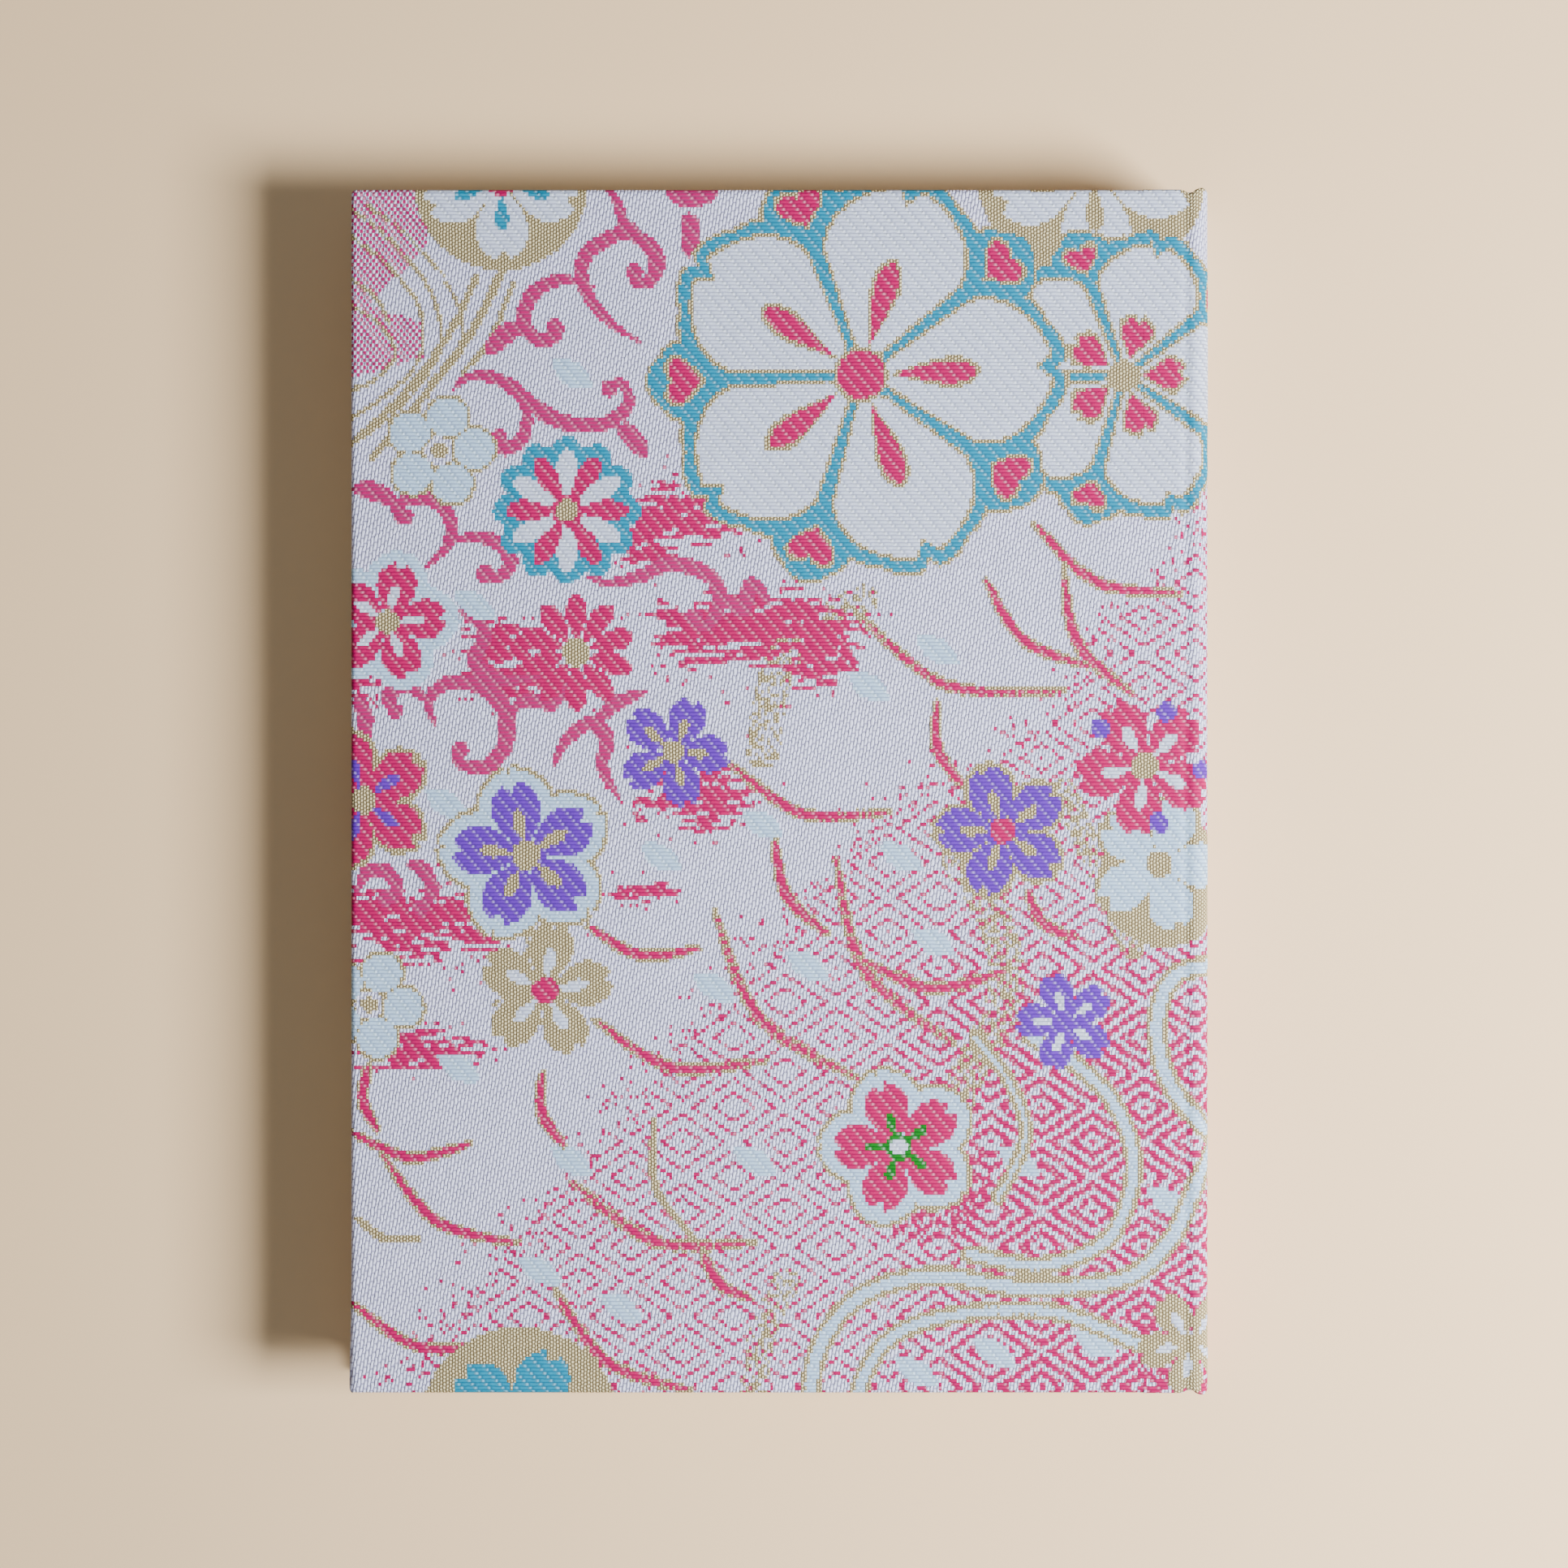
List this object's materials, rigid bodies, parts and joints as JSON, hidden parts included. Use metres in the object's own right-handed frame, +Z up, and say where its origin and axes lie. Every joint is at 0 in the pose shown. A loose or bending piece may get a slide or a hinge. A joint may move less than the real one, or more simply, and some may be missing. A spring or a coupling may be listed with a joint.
{
  "type": "scrapbook album",
  "caption": "Hard-bound scrapbook album in patterned brocade cloth, with card pages on guards between two hinged covers.",
  "frame": {"origin": "under the middle of the closed album, on the surface that it lies on", "axes": "+X from the fore-edge to the spine, +Y from the tail to the head, +Z up through the front cover"},
  "size_m": [0.154, 0.216, 0.0201],
  "materials": {
    "brocade": "figured satin brocade, slight sheen",
    "greyboard": "matte pressed fibre",
    "infill_card": "matte card",
    "endpaper": "matte laid paper",
    "page_card": "matte uncoated card",
    "linen_guard": "plain woven linen",
    "mull": "open gauze, sized",
    "lining_paper": "brown kraft paper",
    "headband": "striped woven band"
  },
  "bodies": {
    "back_cover": {"back_board": "greyboard", "back_cover_cloth": "brocade", "back_infill": "infill_card", "back_pastedown": "endpaper", "back_flyleaf": "endpaper"},
    "spine": {"spine_board": "greyboard", "spine_cloth": "brocade", "back_joint_cloth": "brocade", "spine_lining": "lining_paper", "mull": "mull", "guard_01": "linen_guard", "guard_02": "linen_guard", "guard_03": "linen_guard", "guard_04": "linen_guard", "guard_05": "linen_guard", "guard_06": "linen_guard", "guard_07": "linen_guard", "guard_08": "linen_guard", "guard_09": "linen_guard", "guard_10": "linen_guard", "guard_11": "linen_guard", "guard_12": "linen_guard", "spacer_strips": "greyboard", "headband": "headband", "tailband": "headband"},
    "front_joint": {"front_joint_cloth": "brocade", "front_flyleaf": "endpaper"},
    "front_cover": {"front_board": "greyboard", "front_cover_cloth": "brocade", "front_infill": "infill_card", "front_pastedown": "endpaper"},
    "page_01": {"page_01": "page_card"},
    "page_02": {"page_02": "page_card"},
    "page_03": {"page_03": "page_card"},
    "page_04": {"page_04": "page_card"},
    "page_05": {"page_05": "page_card"},
    "page_06": {"page_06": "page_card"},
    "page_07": {"page_07": "page_card"},
    "page_08": {"page_08": "page_card"},
    "page_09": {"page_09": "page_card"},
    "page_10": {"page_10": "page_card"},
    "page_11": {"page_11": "page_card"},
    "page_12": {"page_12": "page_card"}
  },
  "joints": [
    {"name": "spine_roll", "type": "hinge", "parent": "back_cover", "child": "spine", "pos_m": [0.07636, 0, 0.00064], "axis": [0, 1, 0], "range_deg": [0, 90]},
    {"name": "front_joint_roll", "type": "hinge", "parent": "spine", "child": "front_joint", "pos_m": [0.07636, 0, 0.01941], "axis": [0, 1, 0], "range_deg": [0, 90]},
    {"name": "front_cover_open", "type": "hinge", "parent": "front_joint", "child": "front_cover", "pos_m": [0.07636, 0, 0.01941], "axis": [0, -1, 0], "range_deg": [-135, 0]},
    {"name": "page_01_turn", "type": "hinge", "parent": "spine", "child": "page_01", "pos_m": [0.07275, 0, 0.00425], "axis": [0, 1, 0], "range_deg": [-90, 0]},
    {"name": "page_02_turn", "type": "hinge", "parent": "spine", "child": "page_02", "pos_m": [0.0717, 0, 0.0053], "axis": [0, 1, 0], "range_deg": [-90, 0]},
    {"name": "page_03_turn", "type": "hinge", "parent": "spine", "child": "page_03", "pos_m": [0.07065, 0, 0.00635], "axis": [0, 1, 0], "range_deg": [-90, 0]},
    {"name": "page_04_turn", "type": "hinge", "parent": "spine", "child": "page_04", "pos_m": [0.0696, 0, 0.0074], "axis": [0, 1, 0], "range_deg": [-90, 0]},
    {"name": "page_05_turn", "type": "hinge", "parent": "spine", "child": "page_05", "pos_m": [0.06855, 0, 0.00845], "axis": [0, 1, 0], "range_deg": [-90, 0]},
    {"name": "page_06_turn", "type": "hinge", "parent": "spine", "child": "page_06", "pos_m": [0.0675, 0, 0.0095], "axis": [0, 1, 0], "range_deg": [-90, 0]},
    {"name": "page_07_turn", "type": "hinge", "parent": "spine", "child": "page_07", "pos_m": [0.0675, 0, 0.01055], "axis": [0, 1, 0], "range_deg": [0, 90]},
    {"name": "page_08_turn", "type": "hinge", "parent": "spine", "child": "page_08", "pos_m": [0.06855, 0, 0.0116], "axis": [0, 1, 0], "range_deg": [0, 90]},
    {"name": "page_09_turn", "type": "hinge", "parent": "spine", "child": "page_09", "pos_m": [0.0696, 0, 0.01265], "axis": [0, 1, 0], "range_deg": [0, 90]},
    {"name": "page_10_turn", "type": "hinge", "parent": "spine", "child": "page_10", "pos_m": [0.07065, 0, 0.0137], "axis": [0, 1, 0], "range_deg": [0, 90]},
    {"name": "page_11_turn", "type": "hinge", "parent": "spine", "child": "page_11", "pos_m": [0.0717, 0, 0.01475], "axis": [0, 1, 0], "range_deg": [0, 90]},
    {"name": "page_12_turn", "type": "hinge", "parent": "spine", "child": "page_12", "pos_m": [0.07275, 0, 0.0158], "axis": [0, 1, 0], "range_deg": [0, 90]}
  ],
  "couplings": [
    {"joint": "front_joint_roll", "follows": "spine_roll", "ratio": 1},
    {"joint": "page_01_turn", "follows": "spine_roll", "ratio": -1},
    {"joint": "page_02_turn", "follows": "spine_roll", "ratio": -1},
    {"joint": "page_03_turn", "follows": "spine_roll", "ratio": -1},
    {"joint": "page_04_turn", "follows": "spine_roll", "ratio": -1},
    {"joint": "page_05_turn", "follows": "spine_roll", "ratio": -1},
    {"joint": "page_06_turn", "follows": "spine_roll", "ratio": -1},
    {"joint": "page_07_turn", "follows": "spine_roll", "ratio": 1},
    {"joint": "page_08_turn", "follows": "spine_roll", "ratio": 1},
    {"joint": "page_09_turn", "follows": "spine_roll", "ratio": 1},
    {"joint": "page_10_turn", "follows": "spine_roll", "ratio": 1},
    {"joint": "page_11_turn", "follows": "spine_roll", "ratio": 1},
    {"joint": "page_12_turn", "follows": "spine_roll", "ratio": 1}
  ]
}
